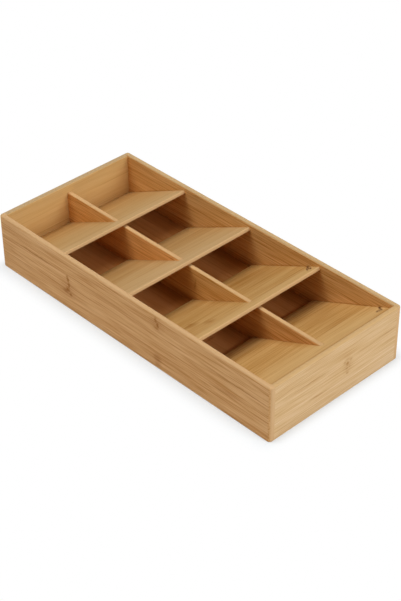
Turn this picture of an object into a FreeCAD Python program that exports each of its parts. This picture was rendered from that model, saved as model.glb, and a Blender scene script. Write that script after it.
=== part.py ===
import FreeCAD, Part
import os
import Sketcher

# Cutlery tray of laminated bamboo. Four rows of two compartments overlap like roof tiles: each row has
# a ramp that rises towards the front, and the deep end of the row runs on under the ramp behind it.
# X runs across the tray, Y from front to rear and Z up. The origin is at the middle of the underside.
# Row 1 is at the rear and row 4 at the front. All lengths are in millimetres.

row_count = 4

driving_sizes = {
    "tray_length": 400,
    "tray_width": 182,
    "tray_height": 65,
    "row_pitch": 99.3,  # one nose to the next
    "nose_shift": 0.8,  # nose of row 2 behind the middle of the tray
    "side_thickness": 6,
    "end_thickness": 6,
    "corner_round": 3.5,  # upright outer corners
    "rim_round": 2,  # eased edges of the rim
    "lower_round": 0.8,  # eased edges underneath
    "corner_tongue": 3,  # thickness of the tongue at each end of an end board
    "corner_reach": 2.5,  # how far that tongue enters the side board
    "corner_stop": 10,  # top of that tongue below the rim
    "base_recess": 7,  # underside of the base panel above the table
    "base_thickness": 5,
    "base_groove": 3,  # depth of the groove that holds the base panel
    "base_slack": 0.3,  # room for the base panel to swell in its groove
    "ramp_angle": 26,  # degrees from level, in rows 1 to 3
    "front_ramp_angle": 23.8,  # the same in row 4, where the ramp starts at the front board
    "ramp_thickness": 4,
    "nose_drop": 3.7,  # high edge of a ramp below the rim
    "nose_round": 1.2,
    "ramp_tongue": 2,  # thickness of the tongue at each end of a ramp
    "ramp_reach": 2,  # how far that tongue enters the side board
    "ramp_setback": 5,  # start of that tongue behind the nose
    "divider_thickness": 5,
    "divider_drop": 9.8,  # top of a divider below the rim
    "divider_round": 1.5,
    "divider_seat": 1.2,  # depth of the groove in a ramp that holds its divider
    "glue_line": 0.1,  # room for glue in each groove
}

# Places that follow from the driving sizes.
derived_places = {
    "half_length": "sizes.tray_length / 2",
    "half_width": "sizes.tray_width / 2",
    "end_inner": "half_length - sizes.end_thickness",
    "side_inner": "half_width - sizes.side_thickness",
    "base_top": "sizes.base_recess + sizes.base_thickness",
    "nose_top": "sizes.tray_height - sizes.nose_drop",
    "divider_top": "sizes.tray_height - sizes.divider_drop",
    "corner_radius": "min(sizes.corner_round; 0.9 * sizes.side_thickness)",
    "rim_radius": "min(sizes.rim_round; 0.45 * sizes.side_thickness; 0.45 * sizes.end_thickness;"
                  " 0.9 * corner_radius)",
    "lower_radius": "min(sizes.lower_round; 0.45 * sizes.end_thickness; 0.9 * corner_radius)",
    "nose_radius": "min(sizes.nose_round; 0.45 * sizes.ramp_thickness)",
    "divider_radius": "min(sizes.divider_round; 0.45 * sizes.divider_thickness)",
}

# The places of a ramp, measured behind the nose line of its row: edge is the front edge of its face,
# tip is where its divider starts, and rest is where its lower corner stands on the base panel.
for kind, angle in (("ramp", "sizes.ramp_angle"), ("front", "sizes.front_ramp_angle")):
    fall = f"nose_top - sizes.ramp_thickness / {kind}_cos - base_top"
    derived_places.update({
        f"{kind}_sin": f"sin({angle} * 1 deg)",
        f"{kind}_cos": f"cos({angle} * 1 deg)",
        f"{kind}_slope": f"tan({angle} * 1 deg)",
        f"{kind}_edge": f"sizes.ramp_thickness * {kind}_sin",
        f"{kind}_tip": f"{kind}_edge + (nose_top - divider_top) / {kind}_slope",
        f"{kind}_rest": f"{kind}_edge + ({fall}) / {kind}_slope",
    })
derived_places.update({
    "row_1": "sizes.nose_shift + sizes.row_pitch",
    "row_2": "sizes.nose_shift",
    "row_3": "sizes.nose_shift - sizes.row_pitch",
    "row_4": "-end_inner - front_edge",
})

doc = FreeCAD.newDocument("cutlery_tray")


def add_sheet(name, cells):
    sheet = doc.addObject("Spreadsheet::Sheet", name)
    for line, (alias, content) in enumerate(cells.items(), start=1):
        sheet.set(f"A{line}", alias.replace("_", " "))
        sheet.set(f"B{line}", content)
        sheet.setAlias(f"B{line}", alias)
    return sheet


add_sheet("sizes", {alias: str(value) for alias, value in driving_sizes.items()})
places = add_sheet("places", {alias: "=" + formula for alias, formula in derived_places.items()})
doc.recompute()


def number(expression):
    return float(places.evalExpression(expression))


# Modelling steps shared by the pieces. Sizes are passed as expressions on the two sheets.

def new_piece(label):
    piece = doc.addObject("PartDesign::Body", label)
    piece.Label = label
    return piece


def add_sketch(piece, plane, name, outlines):
    """Closed outlines of straight lines, each corner held by its own two expressions."""
    sketch = piece.newObject("Sketcher::SketchObject", f"{piece.Label}_{name}_sketch")
    origin_plane = next(item for item in piece.Origin.OriginFeatures if item.Role == plane)
    sketch.AttachmentSupport = [(origin_plane, "")]
    sketch.MapMode = "FlatFace"
    for corners in outlines:
        first = sketch.GeometryCount
        count = len(corners)
        points = [FreeCAD.Vector(number(across), number(up), 0) for across, up in corners]
        for i in range(count):
            sketch.addGeometry(Part.LineSegment(points[i], points[(i + 1) % count]), False)
        for i in range(count):
            sketch.addConstraint(Sketcher.Constraint("Coincident", first + i, 2, first + (i + 1) % count, 1))
        for i, (across, up) in enumerate(corners):
            for kind, expression in (("DistanceX", across), ("DistanceY", up)):
                held = Sketcher.Constraint(kind, -1, 1, first + i, 1, number(expression))
                sketch.setExpression(f"Constraints[{sketch.addConstraint(held)}]", expression)
    return sketch


def rectangle(left, right, low, high):
    return [(left, low), (right, low), (right, high), (left, high)]


def add_extrusion(piece, kind, plane, name, outlines, length, side, reverse):
    sketch = add_sketch(piece, plane, name, outlines)
    feature = piece.newObject(f"PartDesign::{kind}", f"{piece.Label}_{name}")
    feature.Profile = sketch
    feature.SideType = side
    feature.Reversed = reverse
    feature.setExpression("Length", length)
    doc.recompute()
    return feature


def add_pad(piece, plane, name, outlines, length, side="One side"):
    return add_extrusion(piece, "Pad", plane, name, outlines, length, side, False)


def add_cut(piece, plane, name, outlines, length, side="Symmetric", reverse=False):
    volume_before = piece.Shape.Volume
    feature = add_extrusion(piece, "Pocket", plane, name, outlines, length, side, reverse)
    if piece.Shape.Volume >= volume_before:
        raise RuntimeError(f"{feature.Label} removes nothing")


def round_edges(piece, name, radius, axis, wanted):
    """Rounds the edges that run along one axis and whose two ends are both wanted."""
    base = piece.Tip
    names = []
    for i, edge in enumerate(base.Shape.Edges, start=1):
        ends = [vertex.Point for vertex in edge.Vertexes]
        along = len(ends) == 2 and abs((ends[1] - ends[0]).normalize().dot(axis)) > 0.999
        if along and all(wanted(end) for end in ends):
            names.append(f"Edge{i}")
    feature = piece.newObject("PartDesign::Fillet", f"{piece.Label}_{name}")
    feature.Base = (base, names)
    feature.setExpression("Radius", radius)
    doc.recompute()


def same(first, second):
    return abs(first - second) < 1e-4


axis_x = FreeCAD.Vector(1, 0, 0)
axis_y = FreeCAD.Vector(0, 1, 0)
axis_z = FreeCAD.Vector(0, 0, 1)


# A ramp seen from the side. Its face is its upper side, and depth is measured square to that face, down
# into the board.

def of_row(row, name):
    """A place of one row's ramp. The front ramp has its own, because its angle differs."""
    return f"places.{'front' if row == row_count else 'ramp'}_{name}"


def under_face(row, depth, y):
    """Height, at y behind the row's nose line, of the plane that lies at a depth below the face."""
    drop = f"({depth}) / {of_row(row, 'cos')} + {of_row(row, 'slope')} * (({y}) - {of_row(row, 'edge')})"
    return f"places.nose_top - ({drop})"


def lower_end(row, depth):
    """Where the square-cut lower end of the ramp meets that plane."""
    return f"{of_row(row, 'rest')} + (sizes.ramp_thickness - ({depth})) * {of_row(row, 'sin')}"


def ramp_strip(row, upper, lower, setback, room="0", row_place="0"):
    """Outline of the strip of a ramp between two depths, from a setback behind its high edge to some
    room past its lower end, kept between the two end boards."""
    front_limit = f"-places.end_inner - places.row_{row}"
    rear_limit = f"places.end_inner - places.row_{row}"
    corners = []
    for depth in (upper, lower):
        high = f"({setback}) * {of_row(row, 'cos')} - ({depth}) * {of_row(row, 'sin')}"
        corners.append((f"max({of_row(row, 'edge')} + {high}; {front_limit})", depth))
    for depth in (lower, upper):
        low = f"{lower_end(row, depth)} + ({room}) * {of_row(row, 'cos')}"
        corners.append((f"min({low}; {rear_limit})", depth))
    return [(f"{row_place} + {y}", under_face(row, depth, y)) for y, depth in corners]


tongue_top = "(sizes.ramp_thickness - sizes.ramp_tongue) / 2"
tongue_bottom = "(sizes.ramp_thickness + sizes.ramp_tongue) / 2"


def make_side_board(label, side):
    """A long board. Side is -1 on the left and 1 on the right."""
    board = new_piece(label)
    outer = f"{side} * places.half_width"
    inner = f"{side} * places.side_inner"
    outer_x = number(outer)
    inner_x = number(inner)
    height = number("sizes.tray_height")
    half_length = number("places.half_length")

    plan = rectangle(inner, outer, "-places.half_length", "places.half_length")
    add_pad(board, "XY_Plane", "blank", [plan], "sizes.tray_height")
    # The inner edge of the rim is eased between the end boards, and stays square where they meet it.
    round_edges(board, "inner_rim", "places.rim_radius", axis_y,
                lambda end: same(end.x, inner_x) and same(end.z, height))
    eased = f"{side} * (places.side_inner + places.rim_radius)"
    square_ends = [
        rectangle(inner, eased, "-places.half_length", "-places.end_inner"),
        rectangle(inner, eased, "places.end_inner", "places.half_length"),
    ]
    add_pad(board, "XY_Plane", "square_ends", square_ends, "sizes.tray_height")
    round_edges(board, "corners", "places.corner_radius", axis_z,
                lambda end: same(end.x, outer_x) and same(abs(end.y), half_length))
    round_edges(board, "outer_rim", "places.rim_radius", axis_y,
                lambda end: same(end.x, outer_x) and same(end.z, height))
    round_edges(board, "lower_edge", "places.lower_radius", axis_y,
                lambda end: same(end.x, outer_x) and same(end.z, 0))

    base_floor = f"{side} * (places.side_inner + sizes.base_groove)"
    base_groove = rectangle(inner, base_floor, "sizes.base_recess - sizes.glue_line",
                            "places.base_top + sizes.glue_line")
    add_cut(board, "XZ_Plane", "base_groove", [base_groove], "2 * (places.end_inner + sizes.base_groove)")

    corner_floor = f"{side} * (places.side_inner + sizes.corner_reach + sizes.glue_line)"
    corner_back = "places.end_inner + sizes.corner_tongue + sizes.glue_line"
    corner_grooves = [
        rectangle(inner, corner_floor, f"-({corner_back})", "-places.end_inner"),
        rectangle(inner, corner_floor, "places.end_inner", corner_back),
    ]
    add_cut(board, "XY_Plane", "corner_grooves", corner_grooves,
            "sizes.tray_height - sizes.corner_stop + sizes.glue_line", "One side", True)

    housings = [
        ramp_strip(row, f"{tongue_top} - sizes.glue_line", f"{tongue_bottom} + sizes.glue_line",
                   "sizes.ramp_setback - sizes.glue_line", "sizes.glue_line", f"places.row_{row}")
        for row in range(1, row_count + 1)
    ]
    add_cut(board, "YZ_Plane", "ramp_housings", housings,
            "places.side_inner + sizes.ramp_reach + sizes.glue_line", "One side", side > 0)
    return board


def make_end_board(label, side):
    """A short board between the side boards. Side is -1 at the front and 1 at the rear."""
    board = new_piece(label)
    outer = f"{side} * places.half_length"
    inner = f"{side} * places.end_inner"
    outer_y = number(outer)
    height = number("sizes.tray_height")

    plan = rectangle("-places.side_inner", "places.side_inner", inner, outer)
    add_pad(board, "XY_Plane", "blank", [plan], "sizes.tray_height")
    round_edges(board, "rim", "places.rim_radius", axis_x, lambda end: same(end.z, height))
    round_edges(board, "lower_edge", "places.lower_radius", axis_x,
                lambda end: same(end.y, outer_y) and same(end.z, 0))

    reach = "places.side_inner + sizes.corner_reach"
    tongue = rectangle(f"-({reach})", reach, inner, f"{side} * (places.end_inner + sizes.corner_tongue)")
    add_pad(board, "XY_Plane", "tongue", [tongue], "sizes.tray_height - sizes.corner_stop")

    base_groove = rectangle(inner, f"{side} * (places.end_inner + sizes.base_groove)",
                            "sizes.base_recess - sizes.glue_line", "places.base_top + sizes.glue_line")
    add_cut(board, "YZ_Plane", "base_groove", [base_groove], "sizes.tray_width")
    return board


def make_base_panel(label):
    panel = new_piece(label)
    half_x = "places.side_inner + sizes.base_groove - sizes.base_slack"
    half_y = "places.end_inner + sizes.base_groove - sizes.base_slack"
    plan = rectangle(f"-({half_x})", half_x, f"-({half_y})", half_y)
    add_pad(panel, "XY_Plane", "board", [plan], "sizes.base_thickness")
    panel.setExpression("Placement.Base.z", "sizes.base_recess")
    return panel


def make_ramp(label, row):
    """A sloping board, drawn from the nose line of its row. The front ramp has no nose: it butts
    against the front board. The rear ramp stops at the rear board."""
    ramp = new_piece(label)
    slab = ramp_strip(row, "0", "sizes.ramp_thickness", "0")
    add_pad(ramp, "YZ_Plane", "slab", [slab], "2 * places.side_inner", "Symmetric")
    if row < row_count:
        face_edge = number(of_row(row, "edge"))
        round_edges(ramp, "nose", "places.nose_radius", axis_x, lambda end: end.y < face_edge + 1e-4)
    tongue = ramp_strip(row, tongue_top, tongue_bottom, "sizes.ramp_setback")
    add_pad(ramp, "YZ_Plane", "tongue", [tongue], "2 * (places.side_inner + sizes.ramp_reach)", "Symmetric")
    tip_setback = f"(places.nose_top - places.divider_top) / {of_row(row, 'sin')} - sizes.glue_line"
    seat = ramp_strip(row, "-sizes.divider_seat", "sizes.divider_seat", tip_setback)
    add_cut(ramp, "YZ_Plane", "divider_seat", [seat], "sizes.divider_thickness + 2 * sizes.glue_line")
    ramp.setExpression("Placement.Base.y", f"places.row_{row}")
    return ramp


def make_divider(label, row):
    """An upright strip, drawn from the nose line of its row. It is seated in its own ramp, stands on
    the base panel and ends under the ramp behind, or at the rear board."""
    divider = new_piece(label)
    behind = f"places.row_{row - 1} - places.row_{row}" if row > 1 else "sizes.row_pitch"
    under = f"{behind} + places.ramp_edge"
    fall = "places.nose_top - sizes.ramp_thickness / places.ramp_cos"
    tip = of_row(row, "tip")
    seat_end = lower_end(row, "sizes.divider_seat")
    profile = [
        (tip, "places.divider_top"),
        (f"{tip} - sizes.divider_seat * {of_row(row, 'sin')}",
         f"places.divider_top - sizes.divider_seat * {of_row(row, 'cos')}"),
        (seat_end, under_face(row, "sizes.divider_seat", seat_end)),
        (seat_end, "places.base_top"),
        (f"{under} + ({fall} - places.base_top) / places.ramp_slope", "places.base_top"),
        (f"{under} + ({fall} - places.divider_top) / places.ramp_slope", "places.divider_top"),
    ]
    add_pad(divider, "YZ_Plane", "strip", [profile], "sizes.divider_thickness", "Symmetric")
    if row <= 2:
        rear_limit = f"places.end_inner - places.row_{row}"
        past_rear = rectangle(rear_limit, f"{rear_limit} + 2 * places.half_length", "0", "sizes.tray_height")
        add_extrusion(divider, "Pocket", "YZ_Plane", "rear_trim", [past_rear], "sizes.tray_width",
                      "Symmetric", False)
    top = number("places.divider_top")
    round_edges(divider, "top_edges", "places.divider_radius", axis_y, lambda end: same(end.z, top))
    divider.setExpression("Placement.Base.y", f"places.row_{row}")
    return divider


pieces = [
    make_side_board("left_side_board", -1),
    make_side_board("right_side_board", 1),
    make_end_board("front_end_board", -1),
    make_end_board("rear_end_board", 1),
    make_base_panel("base_panel"),
]
for row in range(1, row_count + 1):
    pieces.append(make_ramp(f"ramp_row_{row}", row))
    pieces.append(make_divider(f"divider_row_{row}", row))
doc.recompute()

for item in doc.Objects:
    if "Invalid" in item.State or "Error" in item.State:
        raise RuntimeError(f"{item.Label} failed: {item.State}")
for piece in pieces:
    if piece.Shape.isNull() or not piece.Shape.isValid() or len(piece.Shape.Solids) != 1:
        raise RuntimeError(f"{piece.Label} is not one valid solid")

os.makedirs("parts", exist_ok=True)
for piece in pieces:
    piece.Shape.exportStep(os.path.join("parts", f"{piece.Label}.step"))
    box = piece.Shape.BoundBox
    print(f"{piece.Label}: {box.XLength:.2f} x {box.YLength:.2f} x {box.ZLength:.2f} mm, "
          f"{piece.Shape.Volume / 1000:.1f} cm3")
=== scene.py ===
import math
import bpy
from mathutils import Matrix, Vector


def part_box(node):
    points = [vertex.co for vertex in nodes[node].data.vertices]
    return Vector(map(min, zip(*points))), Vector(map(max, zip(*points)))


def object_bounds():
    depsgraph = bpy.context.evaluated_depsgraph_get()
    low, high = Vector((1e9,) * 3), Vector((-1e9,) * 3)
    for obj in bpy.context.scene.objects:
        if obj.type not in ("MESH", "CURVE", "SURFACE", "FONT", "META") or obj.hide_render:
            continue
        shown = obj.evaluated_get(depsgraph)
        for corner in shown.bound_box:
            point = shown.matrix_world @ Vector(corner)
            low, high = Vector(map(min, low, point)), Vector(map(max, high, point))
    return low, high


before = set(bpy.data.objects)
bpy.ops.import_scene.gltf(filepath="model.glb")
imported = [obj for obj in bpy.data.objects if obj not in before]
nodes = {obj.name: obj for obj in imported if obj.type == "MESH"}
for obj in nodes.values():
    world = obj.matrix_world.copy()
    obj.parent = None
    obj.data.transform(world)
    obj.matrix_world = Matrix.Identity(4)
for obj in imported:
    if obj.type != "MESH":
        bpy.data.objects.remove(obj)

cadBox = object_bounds()
mmPerMetre = 1000
print("frame loaded:", len(nodes), "boards")


# sRGB hex, as a colour picker gives it, to the linear values that shaders take
def linearColour(hexCode):
    channels = [int(hexCode[i:i + 2], 16) / 255 for i in (1, 3, 5)]
    linear = [c / 12.92 if c <= 0.04045 else ((c + 0.055) / 1.055) ** 2.4 for c in channels]
    return (*linear, 1.0)


plainWhite = linearColour("#FFFFFF")


# the empty node tree of a new material or world
def emptyTree(block):
    block.use_nodes = True
    block.node_tree.nodes.clear()
    return block.node_tree


# one node with its settings; an input is a value or the output that feeds it
def addNode(tree, kind, inputs, **settings):
    node = tree.nodes.new(kind)
    for name, value in settings.items():
        setattr(node, name, value)
    for socket, value in inputs.items():
        if isinstance(value, bpy.types.NodeSocket):
            tree.links.new(value, node.inputs[socket])
        else:
            node.inputs[socket].default_value = value
    return node


# Kinds of board. Fibres run along and strips lie side by side across.
rampTilt = math.radians(26)
frontTilt = math.radians(23.8)
sideBoard = {
    "slot": "side_board_bamboo",
    "along": (0, 1, 0),
    "across": (0, 0, 1),
    "edge": "#C9A371",
    "end": "#C9A67A",
}
endBoard = {
    "slot": "end_board_bamboo",
    "along": (1, 0, 0),
    "across": (0, 0, 1),
    "edge": "#C9A371",
    "end": "#CBA979",
}
rampBoard = {
    "slot": "ramp_bamboo",
    "along": (1, 0, 0),
    "across": (0, math.cos(rampTilt), -math.sin(rampTilt)),
    "edge": "#CDA777",
    "end": "#CDA777",
}
frontRamp = dict(rampBoard, across=(0, math.cos(frontTilt), -math.sin(frontTilt)))
dividerBoard = {
    "slot": "divider_bamboo",
    "along": (0, 1, 0),
    "across": (0, 0, 1),
    "edge": "#CDA777",
    "end": "#CDA777",
}
basePanel = {
    "slot": "base_bamboo",
    "along": (0, 1, 0),
    "across": (1, 0, 0),
    "edge": "#BE8650",
    "end": "#BE8650",
}

# Spots darken a board. Each is a soft ellipse: place along from the middle, place across from the low edge
# (a ramp's high edge, the base's left one), half length, half width, turn and depth. Sizes and places are in
# millimetres and turns in degrees.

# the thin spot where a ramp meets a side board, a dark joint line with painted contact shade; it fades at
# its ends, so it is drawn past them
rampLineAndShade = {"halfWidth": 1.4, "depth": 0.55, "pastEnds": 1.15}


def rampSeamAndShade(high, foot):
    run = (Vector(foot) - Vector(high)) / 2
    middle = Vector(high) + run
    halfLength = run.length * rampLineAndShade["pastEnds"]
    degrees = math.degrees(math.atan2(run.y, run.x))
    return (*middle, halfLength, rampLineAndShade["halfWidth"], degrees, rampLineAndShade["depth"])


# both ends of a ramp's face, as place along the tray and height in millimetres
def rampEnds(name):
    points = [vertex.co * mmPerMetre for vertex in nodes[name].data.vertices]
    high = max(points, key=lambda point: point.z)
    foot = max(points, key=lambda point: (round(point.y, 2), point.z))  # the upper point of the rear edge
    return (high.y, high.z), (foot.y, foot.z)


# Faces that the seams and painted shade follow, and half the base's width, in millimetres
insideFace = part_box("right_side_board")[0].x * mmPerMetre
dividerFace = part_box("divider_row_1")[1].x * mmPerMetre
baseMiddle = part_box("base_panel")[1].x * mmPerMetre
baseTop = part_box("base_panel")[1].z * mmPerMetre

# Seams: dark spots where another board meets this one, partly a joint line and partly painted contact shade,
# and wide painted shade beside it
sideSeamsAndShade = [rampSeamAndShade(*rampEnds(f"ramp_row_{row}")) for row in (1, 2, 3, 4)]
# painted shade low on the right board's inside face, along the base
rightBaseShade = [(0, baseTop, 200, 12, 0, 0.6)]
# dark joint lines with painted contact shade on a ramp, at the side boards and at both faces of a divider
rampSeamsAndShade = [(x, 60, 1.8, 90, 0, 0.6) for x in (-insideFace, insideFace)]
rampSeamsAndShade += [(x, 64.5, 2.2, 52, 0, 0.6) for x in (-dividerFace, dividerFace)]
rampSeamsAndShade += [(-4, 58, 9, 50, 0, 0.25)]  # shade on the left of a divider
# painted shade on ramp 4 beside the front board
frontBoardShade = [(0, 0, 300, 8.4, 0, 0.8)]
# painted shade on the base beside the dividers' left faces and the right board
baseShade = [(0, baseMiddle + x, 200, 26, 0, 0.8) for x in (-dividerFace, insideFace)]
# painted shade along a divider's low edge
dividerFootShade = [(0, 0, 90, 12, 0, 0.6)]

# Signs burnt into the right ends of two ramps, stroke by stroke
forkSign = [
    (83.6, 15.6, 7, 2.1, 50, 1), (77.8, 10.9, 7.4, 1.6, 52, 0.9),
    (79.8, 11, 5, 1.6, 52, 0.9), (80.6, 8.7, 5.4, 1.8, 52, 1)]
spoonSign = [
    (83.4, 16.5, 6, 2, 54, 1), (78.2, 12, 5.6, 3.8, 30, 0.5),
    (75.8, 12.7, 4.2, 2.1, 40, 0.75), (80.5, 11.7, 5, 2.1, 58, 0.8)]

# Boards. Grain: how strong the fibres, streaks and clouds are against the usual. Strips: where each begins
# across the board, in millimetres, and how pale it is. Marks and shade: spots for knuckles and streaks, and
# soft
# painted shade. Inner: where a side board's inside face lies. Edge: a tint of its own in place of its
# kind's.
boards = {
    "left_side_board": {
        "kind": sideBoard, "seed": 1, "honey": "#D2A066", "grain": (2.6, 0.5, 1.2),
        "inner": -insideFace, "edge": "#CDA779",
        "strips": ((0, 0.48), (19.1, 0.5), (43.4, 0.52)),
        "marksAndShade": [
            (89, 38, 3.4, 8, -8, 0.9), (88, 31, 3.6, 7, 8, 0.95), (90, 25, 6, 6, 0, 0.9),
            (93, 22, 8, 4, 0, 0.75), (85.5, 20.5, 4, 3.4, 0, 0.85), (90, 28, 18, 17, 0, 0.28),
            # painted shade over the left board's rear end
            (200, 32, 75, 60, 0, 0.12),
            (-45, 59, 3.4, 6, 14, 0.8), (-47.5, 54.5, 3.4, 6, -14, 0.9), (-46, 50, 7, 2.6, 0, 0.75),
            (-46.5, 54, 14, 14, 0, 0.25),
            (-46, 12, 9, 8, 0, 0.5), (-46.5, 6, 7, 6, 0, 0.45),
            (150, 42.8, 56, 1.6, 0, 0.8), (-150, 42.8, 56, 1.6, 0, 0.7), (-140, 42.4, 24, 2.2, 0, 0.6),
            (-135, 25.2, 30, 1.8, 0.6, 0.45), (-150, 28, 18, 3, 0, 0.2),
            (181, 28, 10, 1.2, 0, 0.35), (158, 19.5, 12, 1.2, 0, 0.3)],
        "seamsAndShade": sideSeamsAndShade},
    "right_side_board": {
        "kind": sideBoard, "seed": 2, "honey": "#DDA763", "grain": (2.4, 0.4, 1),
        "inner": insideFace, "edge": "#C2A478",
        "strips": ((0, 0.45), (21.5, 0.55), (44, 0.48)),
        "marksAndShade": [
            (-70, 33, 1.8, 11, 5, 0.5), (-68, 28, 4, 6, 0, 0.35), (-69, 31, 9, 10, 0, 0.15),
            (124, 10, 2.2, 9, -6, 0.45), (126, 6, 6, 4, 0, 0.2), (20, 43.6, 60, 0.9, 0, 0.4)],
        "seamsAndShade": sideSeamsAndShade + rightBaseShade},
    "front_end_board": {
        "kind": endBoard, "seed": 3, "honey": "#CFAD7E", "grain": (1.6, 0.2, 0.55), "edge": "#C8A370",
        # the strips grow paler towards the bottom as painted light bounced up from the floor
        "strips": ((0, 0.58), (20, 0.5), (42.1, 0.46)),
        "marksAndShade": [
            (-43, 42, 46, 1.3, 0, 0.65), (74, 42, 19, 1.2, 0, 0.5), (-26, 20, 19, 1.3, 0, 0.65),
            (-62, 49.5, 19, 0.8, 0, 0.3), (15, 41.5, 7, 3, 0, 0.42), (14.6, 36, 4, 4.6, 0, 0.75),
            (13.6, 30, 3, 2.6, 0, 0.6), (15.2, 24.5, 3, 2.6, 0, 0.6), (11, 38.5, 2.8, 4, 30, 0.45),
            (19.5, 38.5, 2.8, 4, -30, 0.45), (18, 31, 2.4, 3, 0, 0.42), (15, 33, 11, 14, 0, 0.25)]},
    "rear_end_board": {
        "kind": endBoard, "seed": 4, "honey": "#DDB577", "grain": (0.5, 0.3, 0.4), "edge": "#B49872",
        "strips": ((0, 0.5), (22, 0.53), (44, 0.5)),
        "marksAndShade": [
            (42, 10, 2.2, 9, 6, 0.45), (43, 8, 6, 6, 0, 0.2), (-30, 21.8, 40, 0.9, 0, 0.4)]},
    "base_panel": {
        "kind": basePanel, "seed": 5, "honey": "#C48549", "grain": (1, 1, 1),
        "strips": (
            (0, 0.55), (22, 0.52), (44, 0.62), (66, 0.52),
            (88, 0.6), (110, 0.45), (132, 0.5), (154, 0.42)),
        "marksAndShade": [
            (-60, 55, 2.2, 10, 5, 0.5), (84, 99, 2.2, 10, -5, 0.5), (-130, 143, 2.2, 10, 4, 0.5)],
        "seamsAndShade": baseShade},
    "ramp_row_1": {
        "kind": rampBoard, "seed": 6, "honey": "#BC955F", "grain": (0.8, 0.8, 1),
        "strips": ((0, 0.72), (14, 0.57), (33, 0.5), (54, 0.44), (75, 0.38)),
        "seamsAndShade": rampSeamsAndShade},
    "ramp_row_2": {
        "kind": rampBoard, "seed": 7, "honey": "#C09964", "grain": (0.8, 0.8, 1),
        "strips": ((0, 0.68), (14, 0.58), (33, 0.52), (54, 0.36), (75, 0.28)),
        "seamsAndShade": rampSeamsAndShade},
    "ramp_row_3": {
        "kind": rampBoard, "seed": 8, "honey": "#BE9255", "grain": (1.6, 0.9, 1.4),
        "strips": ((0, 0.78), (13, 0.52), (27, 0.52), (52, 0.47), (75, 0.43)),
        # the last mark is painted shade on the right half of the ramp
        "marksAndShade": [
            (-59, 40, 12, 10, 0, 0.5), (-56, 43, 4, 6, 10, 0.6), (-47.5, 25, 9, 9, 0, 0.45),
            (-47, 23, 4, 5, 0, 0.6), (52, 72, 52, 38, 0, 0.32)],
        "burns": forkSign, "seamsAndShade": rampSeamsAndShade},
    "ramp_row_4": {
        "kind": frontRamp, "seed": 9, "honey": "#C69859", "grain": (1.6, 0.9, 1.4),
        "strips": ((0, 0.78), (20, 0.62), (34, 0.42), (48, 0.46), (62, 0.5), (84, 0.44)),
        # the first two marks, broad and soft on the right half of the ramp, are painted shade
        "marksAndShade": [
            (46, 40, 44, 10, 0, 0.25), (48, 70, 50, 42, 0, 0.2),
            (-10, 5, 90, 1.4, 0, 0.35), (20, 10, 80, 1.2, 0, 0.25)],
        "burns": spoonSign, "seamsAndShade": rampSeamsAndShade + frontBoardShade},
    "divider_row_1": {
        "kind": dividerBoard, "seed": 10, "honey": "#E1A55E", "grain": (2.4, 0.6, 1),
        "strips": ((0, 0.5), (21, 0.5)), "seamsAndShade": dividerFootShade},
    "divider_row_2": {
        "kind": dividerBoard, "seed": 11, "honey": "#EAA85F", "grain": (2.4, 0.6, 1),
        "strips": ((0, 0.5), (23, 0.5)), "seamsAndShade": dividerFootShade},
    "divider_row_3": {
        "kind": dividerBoard, "seed": 12, "honey": "#DEA65D", "grain": (2.4, 0.6, 1),
        "strips": ((0, 0.5), (20, 0.5)), "seamsAndShade": dividerFootShade,
        "marksAndShade": [(-12, 24.5, 2.2, 11, 4, 0.55), (-11, 22, 6, 9, 0, 0.2)]},
    "divider_row_4": {
        "kind": dividerBoard, "seed": 13, "honey": "#D89E5B", "grain": (2.4, 0.6, 1),
        "strips": ((0, 0.5), (22, 0.5)), "seamsAndShade": dividerFootShade},
}

# What all boards share, in millimetres
bamboo = {
    "fibres": (45, 0.8, 0.9),  # length, width and depth of a layer of grain; these are coarser than real
    "streaks": (120, 2, 0.7),
    "clouds": (130, 9, 0.5),
    "grainDetail": 2,
    "grainShift": (900, 300, 300),  # each strip takes its grain from another place in this range
    "pale": (1.17, 1.3, 1.62),  # share of the honey colour, in linear red, green and blue
    "brown": (0.75, 0.62, 0.41),
    "brownAt": 0.1,  # how pale the wood is at its brownest, at plain honey and at its palest
    "honeyAt": 0.5,
    "paleAt": 0.9,
    # this colour darkens both real stains and painted shade
    "stainAndShade": (0.54, 0.34, 0.05),  # share of the colour that the darkest spot leaves
    "burnt": "#562200",
    "spotCore": 0.1,  # share of a spot that is evenly dark
    "glueHalfWidth": 0.7,
    "glueDepth": 0.35,
    "glueFaint": 1 / 6,  # share of the depth that is left where two strips match
    "glueBreak": (0.42, 0.58),  # levels of the clouds between which a glue line fades
    # a side board's seams carry painted contact shade, kept on its inside face
    "seamShadeReach": 3,  # keeps a side board's seams on its inside face
    "sway": (4.8, 1.6, 0),  # range in which the edges of marks wander, and how soon they turn back
    "swayPatch": (7, 3.5, 7),
    "swayDetail": 1,
    "edgeTurn": (0.3, 0.75),  # how far a face looks across the board where its tint begins and is full
    "endTurn": (0.5, 0.95),  # the same along the board
    "tintShare": 0.85,
    "roughness": (0.46, 0.58),
    "ior": 1.47,
    "gloss": 0.15,  # the shader's own is 0.5, but the oil has sunk in
    "fibreHeight": 0.03,
    "fibreBump": 0.12,
}
noiseMiddle = 0.5
stripCodes = 50  # strips and boards are numbered in this many steps of a colour channel
throughBoard = 1000  # a spot this deep shows on both faces


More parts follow.
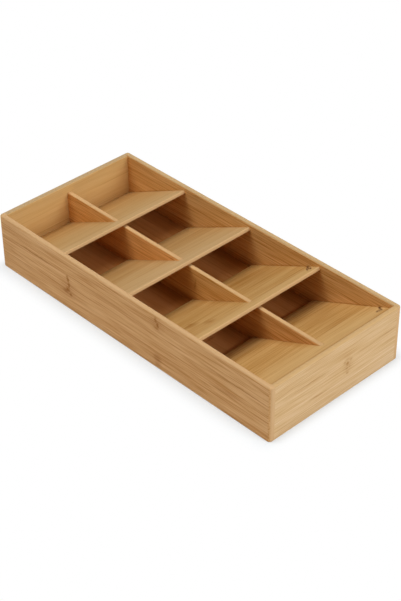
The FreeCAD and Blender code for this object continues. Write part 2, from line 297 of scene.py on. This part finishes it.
# how dark the spots of one list make a place; the darkest counts
def addSpots(tree, place, spots, inner=0, reachIn=throughBoard):
    dark = 0.0
    for alongAt, acrossAt, halfLength, halfWidth, degrees, depth in spots:
        fitted = addNode(tree, "ShaderNodeMapping", {
            "Vector": place, "Location": (alongAt, acrossAt, inner),
            "Rotation": (0, 0, math.radians(degrees)),
            "Scale": (halfLength, halfWidth, reachIn)}, vector_type="TEXTURE")
        reach = addNode(tree, "ShaderNodeVectorMath", {0: fitted.outputs[0]}, operation="LENGTH")
        spot = addNode(tree, "ShaderNodeMapRange", {
            "Value": reach.outputs["Value"], "From Min": bamboo["spotCore"], "From Max": 1,
            "To Min": depth, "To Max": 0}, interpolation_type="SMOOTHSTEP")
        darker = addNode(tree, "ShaderNodeMath", {0: spot.outputs[0], 1: dark}, operation="MAXIMUM")
        dark = darker.outputs[0]
    return dark


# one colour step for each strip: how pale it is, its number and its board's seed
def addStrips(tree, board, acrossAt, width):
    share = addNode(tree, "ShaderNodeMath", {0: acrossAt, 1: width}, operation="DIVIDE")
    strips = addNode(tree, "ShaderNodeValToRGB", {"Fac": share.outputs[0]})
    strips.color_ramp.interpolation = "CONSTANT"
    steps = strips.color_ramp.elements
    steps.remove(steps[1])
    for number, (begin, paleness) in enumerate(board["strips"]):
        step = steps[0] if number == 0 else steps.new(begin / width)
        step.color = (paleness, number / stripCodes, board["seed"] / stripCodes, 1)
    return strips.outputs["Color"]


# grain in three sizes, from a place of its own for each strip, makes the strip paler or browner
def addGrain(tree, board, place, strips):
    level = addNode(tree, "ShaderNodeSeparateColor", {0: strips}).outputs["Red"]
    chance = addNode(tree, "ShaderNodeTexWhiteNoise", {"Vector": strips})
    cut = addNode(tree, "ShaderNodeVectorMath", {
        0: chance.outputs["Color"], 1: bamboo["grainShift"], 2: place}, operation="MULTIPLY_ADD")
    grain = {}
    for layer, strength in zip(("fibres", "streaks", "clouds"), board["grain"]):
        length, breadth, depth = bamboo[layer]
        drawn = addNode(tree, "ShaderNodeVectorMath", {
            0: cut.outputs[0], 1: (1 / length, 1 / breadth, 1 / breadth)}, operation="MULTIPLY")
        noise = addNode(tree, "ShaderNodeTexNoise", {
            "Vector": drawn.outputs[0], "Scale": 1, "Detail": bamboo["grainDetail"]})
        grain[layer] = noise.outputs["Fac"]
        swing = addNode(tree, "ShaderNodeMath", {0: grain[layer], 1: noiseMiddle}, operation="SUBTRACT")
        changed = addNode(tree, "ShaderNodeMath", {
            0: swing.outputs[0], 1: depth * strength, 2: level}, operation="MULTIPLY_ADD")
        level = changed.outputs[0]
    return level, grain


# brown, honey or pale wood, by how pale the grain makes it
def addTone(tree, honey, level):
    tone = addNode(tree, "ShaderNodeValToRGB", {"Fac": level})
    stops = tone.color_ramp.elements
    stops[0].position = bamboo["brownAt"]
    stops[0].color = [h * b for h, b in zip(honey, bamboo["brown"])] + [1]
    stops[1].position = bamboo["paleAt"]
    stops[1].color = [h * p for h, p in zip(honey, bamboo["pale"])] + [1]
    stops.new(bamboo["honeyAt"]).color = honey
    return tone.outputs["Color"]


# glue lines between strips, faint where two strips match
def addGlueLines(tree, board, acrossAt, clouds):
    fadeFrom, fadeTo = bamboo["glueBreak"]
    broken = addNode(tree, "ShaderNodeMapRange", {
        "Value": clouds, "From Min": fadeFrom, "From Max": fadeTo,
        "To Min": bamboo["glueDepth"], "To Max": bamboo["glueDepth"] * bamboo["glueFaint"]})
    dark = 0.0
    for begin, _ in board["strips"][1:]:
        away = addNode(tree, "ShaderNodeMath", {0: acrossAt, 1: begin}, operation="SUBTRACT")
        beside = addNode(tree, "ShaderNodeMath", {0: away.outputs[0]}, operation="ABSOLUTE")
        line = addNode(tree, "ShaderNodeMapRange", {
            "Value": beside.outputs[0], "From Min": 0, "From Max": bamboo["glueHalfWidth"],
            "To Min": broken.outputs[0], "To Max": 0})
        darker = addNode(tree, "ShaderNodeMath", {0: line.outputs[0], 1: dark}, operation="MAXIMUM")
        dark = darker.outputs[0]
    return dark


# a place that wanders a little, so that the edges of marks aren't smooth
def addSway(tree, place):
    perPatch = [1 / size for size in bamboo["swayPatch"]]
    loose = addNode(tree, "ShaderNodeVectorMath", {0: place, 1: perPatch}, operation="MULTIPLY")
    drift = addNode(tree, "ShaderNodeTexNoise", {
        "Vector": loose.outputs[0], "Scale": 1, "Detail": bamboo["swayDetail"]})
    offset = addNode(tree, "ShaderNodeVectorMath", {
        0: drift.outputs["Color"], 1: (noiseMiddle, noiseMiddle, noiseMiddle)}, operation="SUBTRACT")
    swayed = addNode(tree, "ShaderNodeVectorMath", {
        0: offset.outputs[0], 1: bamboo["sway"], 2: place}, operation="MULTIPLY_ADD")
    return swayed.outputs[0]


# Flat-pressed bamboo, planed, sanded and oiled: honey strips with fine long fibres, a thin glue line
# between strips, brown knuckles across a strip, and a satin, nearly matt skin.
# It also carries painted shade along the seams and in some broad soft marks.
def laminatedBamboo(name, board):
    kind = board["kind"]
    along = Vector(kind["along"])
    across = Vector(kind["across"])
    turn = Matrix((along, across, along.cross(across))).to_euler()
    corners = [vertex.co for vertex in nodes[name].data.vertices]
    alongPlaces = [along.dot(corner) for corner in corners]
    acrossPlaces = [across.dot(corner) for corner in corners]
    middle = (min(alongPlaces) + max(alongPlaces)) / 2 * mmPerMetre
    lowEdge = min(acrossPlaces) * mmPerMetre
    width = max(acrossPlaces) * mmPerMetre - lowEdge
    material = bpy.data.materials.new("bambooFlatPressed_" + name)
    tree = emptyTree(material)

    # place on the board in millimetres, and how far a face looks along and across it
    space = addNode(tree, "ShaderNodeTexCoord", {})
    place = addNode(tree, "ShaderNodeMapping", {
        "Vector": space.outputs["Object"], "Location": (-middle, -lowEdge, 0),
        "Rotation": turn, "Scale": (mmPerMetre, mmPerMetre, mmPerMetre)}).outputs[0]
    acrossAt = addNode(tree, "ShaderNodeSeparateXYZ", {0: place}).outputs["Y"]
    turned = addNode(tree, "ShaderNodeMapping", {"Vector": space.outputs["Normal"], "Rotation": turn})
    looks = addNode(tree, "ShaderNodeVectorMath", {0: turned.outputs[0]}, operation="ABSOLUTE")
    facing = addNode(tree, "ShaderNodeSeparateXYZ", {0: looks.outputs[0]})

    # bare wood
    strips = addStrips(tree, board, acrossAt, width)
    level, grain = addGrain(tree, board, place, strips)
    colour = addTone(tree, linearColour(board["honey"]), level)

    # glue lines, marks with swaying edges and straight seams darken it, as stain and as painted shade, and
    # burns hide it
    dark = addGlueLines(tree, board, acrossAt, grain["clouds"])
    marksAndShade = addSpots(tree, addSway(tree, place), board.get("marksAndShade", ()))
    inside = {"inner": board["inner"], "reachIn": bamboo["seamShadeReach"]} if "inner" in board else {}
    seamsAndShade = addSpots(tree, place, board.get("seamsAndShade", ()), **inside)
    for other in (marksAndShade, seamsAndShade):
        dark = addNode(tree, "ShaderNodeMath", {0: dark, 1: other}, operation="MAXIMUM").outputs[0]
    colour = addNode(tree, "ShaderNodeMix", {
        "Factor": dark, "A": colour, "B": (*bamboo["stainAndShade"], 1)},
        data_type="RGBA", blend_type="MULTIPLY").outputs["Result"]
    burns = addSpots(tree, place, board.get("burns", ()))
    colour = addNode(tree, "ShaderNodeMix", {
        "Factor": burns, "A": colour, "B": linearColour(bamboo["burnt"])},
        data_type="RGBA").outputs["Result"]

    # planed edges and sawn ends have tints of their own
    for axis, part in (("Y", "edge"), ("X", "end")):
        begins, full = bamboo[part + "Turn"]
        outside = addNode(tree, "ShaderNodeMapRange", {
            "Value": facing.outputs[axis], "From Min": begins, "From Max": full,
            "To Min": 0, "To Max": bamboo["tintShare"]}, interpolation_type="SMOOTHSTEP")
        colour = addNode(tree, "ShaderNodeMix", {
            "Factor": outside.outputs[0], "A": colour, "B": linearColour(board.get(part, kind[part]))},
            data_type="RGBA").outputs["Result"]

    # fibres stand a little proud of the sanded face
    smoothest, roughest = bamboo["roughness"]
    rough = addNode(tree, "ShaderNodeMapRange", {
        "Value": grain["fibres"], "To Min": smoothest, "To Max": roughest})
    fibre = addNode(tree, "ShaderNodeBump", {
        "Height": grain["fibres"], "Strength": bamboo["fibreBump"],
        "Distance": bamboo["fibreHeight"] / mmPerMetre})
    skin = addNode(tree, "ShaderNodeBsdfPrincipled", {
        "Base Color": colour, "Roughness": rough.outputs[0], "IOR": bamboo["ior"],
        "Specular IOR Level": bamboo["gloss"], "Normal": fibre.outputs[0]})
    addNode(tree, "ShaderNodeOutputMaterial", {"Surface": skin.outputs[0]})
    return material


for name, board in boards.items():
    nodes[name].data.materials[0] = laminatedBamboo(name, board)
print("bamboo on", len(boards), "boards")


# 1 for a ray from the camera, directly or by way of a mirror or glass
def addSeen(tree):
    rays = addNode(tree, "ShaderNodeLightPath", {})
    seen = rays.outputs["Is Camera Ray"]
    for kind in ("Is Glossy Ray", "Is Transmission Ray"):
        either = addNode(tree, "ShaderNodeMath", {0: seen, 1: rays.outputs[kind]}, operation="MAXIMUM")
        seen = either.outputs[0]
    return seen


# Paper under the tray, in metres
paper = {
    "width": 8.0,
    "drop": 0.0002,  # keeps it clear of the tray's lower edges
    "seenColour": "#EAF4FA",  # cool where it is seen, and plain where it only lights the tray
    "bounceColour": "#F4F1EC",
    "whiteBeside": 0.44,  # share of plain white beside the tray, and further off
    "whiteFurther": 1.0,
    "whiteFrom": 0.022,
    "endLead": 0.0075,  # it whitens sooner past both ends and on the right
    "rightLead": 0.0035,
    "leadBlend": 0.01,
}


# share of plain white, by how far a place is from the tray
def addWhiteness(tree):
    rightFace, rearFace = cadBox[1][0], cadBox[1][1]
    blend = paper["leadBlend"]
    space = addNode(tree, "ShaderNodeTexCoord", {})
    spread = addNode(tree, "ShaderNodeVectorMath", {0: space.outputs["Object"]}, operation="ABSOLUTE")
    away = addNode(tree, "ShaderNodeVectorMath", {
        0: spread.outputs[0], 1: (rightFace, rearFace, 0)}, operation="SUBTRACT")
    outside = addNode(tree, "ShaderNodeVectorMath", {0: away.outputs[0]}, operation="MAXIMUM")
    reach = addNode(tree, "ShaderNodeVectorMath", {0: outside.outputs[0]}, operation="LENGTH")
    pastEnds = addNode(tree, "ShaderNodeSeparateXYZ", {0: away.outputs[0]})
    endLead = addNode(tree, "ShaderNodeMapRange", {
        "Value": pastEnds.outputs["Y"], "From Min": -blend, "From Max": blend,
        "To Max": paper["endLead"]}, interpolation_type="SMOOTHSTEP")
    aside = addNode(tree, "ShaderNodeSeparateXYZ", {0: space.outputs["Object"]})
    rightLead = addNode(tree, "ShaderNodeMapRange", {
        "Value": aside.outputs["X"], "From Min": rightFace - blend, "From Max": rightFace,
        "To Max": paper["rightLead"]}, interpolation_type="SMOOTHSTEP")
    leads = addNode(tree, "ShaderNodeMath", {
        0: endLead.outputs[0], 1: rightLead.outputs[0]}, operation="ADD")
    total = addNode(tree, "ShaderNodeMath", {
        0: reach.outputs["Value"], 1: leads.outputs[0]}, operation="ADD")
    whiteness = addNode(tree, "ShaderNodeMapRange", {
        "Value": total.outputs[0], "From Max": paper["whiteFrom"],
        "To Min": paper["whiteBeside"], "To Max": paper["whiteFurther"]},
        interpolation_type="SMOOTHSTEP")
    return whiteness.outputs[0]


# Matt studio paper: plain white further off, and close round the tray grey enough to show its shadow
def mattPaper():
    material = bpy.data.materials.new("studioPaper")
    tree = emptyTree(material)
    whiteness = addWhiteness(tree)
    seen = addSeen(tree)
    share = addNode(tree, "ShaderNodeMath", {0: seen, 1: whiteness}, operation="MULTIPLY")
    colour = addNode(tree, "ShaderNodeMix", {
        "Factor": seen, "A": linearColour(paper["bounceColour"]),
        "B": linearColour(paper["seenColour"])}, data_type="RGBA")
    sheet = addNode(tree, "ShaderNodeBsdfDiffuse", {"Color": colour.outputs["Result"]})
    glow = addNode(tree, "ShaderNodeEmission", {"Color": plainWhite, "Strength": 1})
    blended = addNode(tree, "ShaderNodeMixShader", {
        0: share.outputs[0], 1: sheet.outputs[0], 2: glow.outputs[0]})
    addNode(tree, "ShaderNodeOutputMaterial", {"Surface": blended.outputs[0]})
    return material


def addFloor():
    half = paper["width"] / 2
    level = -paper["drop"]
    mesh = bpy.data.meshes.new("floor")
    outline = [(-half, -half, level), (half, -half, level), (half, half, level), (-half, half, level)]
    mesh.from_pydata(outline, [], [(0, 1, 2, 3)])
    mesh.materials.append(mattPaper())
    floor = bpy.data.objects.new("floor", mesh)
    bpy.context.scene.collection.objects.link(floor)


# White all round where it is seen, and a little even light on the tray
surroundings = {"fill": 0.15, "seen": 1}


def addSurroundings():
    world = bpy.data.worlds.new("studioWhite")
    tree = emptyTree(world)
    strength = addNode(tree, "ShaderNodeMapRange", {
        "Value": addSeen(tree), "To Min": surroundings["fill"], "To Max": surroundings["seen"]})
    glow = addNode(tree, "ShaderNodeBackground", {"Color": plainWhite, "Strength": strength.outputs[0]})
    addNode(tree, "ShaderNodeOutputWorld", {"Surface": glow.outputs[0]})
    bpy.context.scene.world = world


# Softboxes, in metres: a long one overhead and a lower one in front, both turned to the tray
softboxes = {
    "softboxTop": {"place": (-0.6, 0.5, 2.6), "width": 1.2, "height": 3.0, "watts": 60},
    "softboxFront": {"place": (0.5, -2.5, 1.15), "width": 1.6, "height": 1.2, "watts": 40},
}


def addSoftboxes():
    for name, softbox in softboxes.items():
        lamp = bpy.data.lights.new(name, "AREA")
        lamp.shape = "RECTANGLE"
        lamp.size = softbox["width"]
        lamp.size_y = softbox["height"]
        lamp.energy = softbox["watts"]
        holder = bpy.data.objects.new(name, lamp)
        holder.location = softbox["place"]
        holder.rotation_euler = (-Vector(softbox["place"])).to_track_quat("-Z", "Y").to_euler()
        bpy.context.scene.collection.objects.link(holder)


addFloor()
addSurroundings()
addSoftboxes()
print("studio lit")

# Camera: fitted to the tray's corners in the photograph. Turns are in degrees, places in metres, and the
# lens and its sensor in millimetres.
camera = {
    "azimuth": -43.44,
    "elevation": 36.84,
    "roll": -0.50,
    "distance": 1.603,
    "aside": 0.00835,
    "above": 0.00898,
    "lens": 92.56,
    "sensor": 36,
}


def addCamera():
    azimuth = math.radians(camera["azimuth"])
    elevation = math.radians(camera["elevation"])
    roll = math.radians(camera["roll"])
    level = Vector((math.cos(azimuth), math.sin(azimuth), 0))
    outward = Vector((math.sin(azimuth), -math.cos(azimuth), 0))
    back = outward * math.cos(elevation) + Vector((0, 0, math.sin(elevation)))
    upright = back.cross(level)
    right = level * math.cos(roll) + upright * math.sin(roll)
    up = upright * math.cos(roll) - level * math.sin(roll)
    data = bpy.data.cameras.new("camera")
    data.lens = camera["lens"]
    data.sensor_width = camera["sensor"]
    holder = bpy.data.objects.new("camera", data)
    turned = Matrix((right, up, back)).transposed().to_4x4()
    turned.translation = right * camera["aside"] + up * camera["above"] + back * camera["distance"]
    holder.matrix_world = turned
    bpy.context.scene.collection.objects.link(holder)
    bpy.context.scene.camera = holder


addCamera()
bpy.context.scene.view_settings.view_transform = "Standard"
print("camera set")
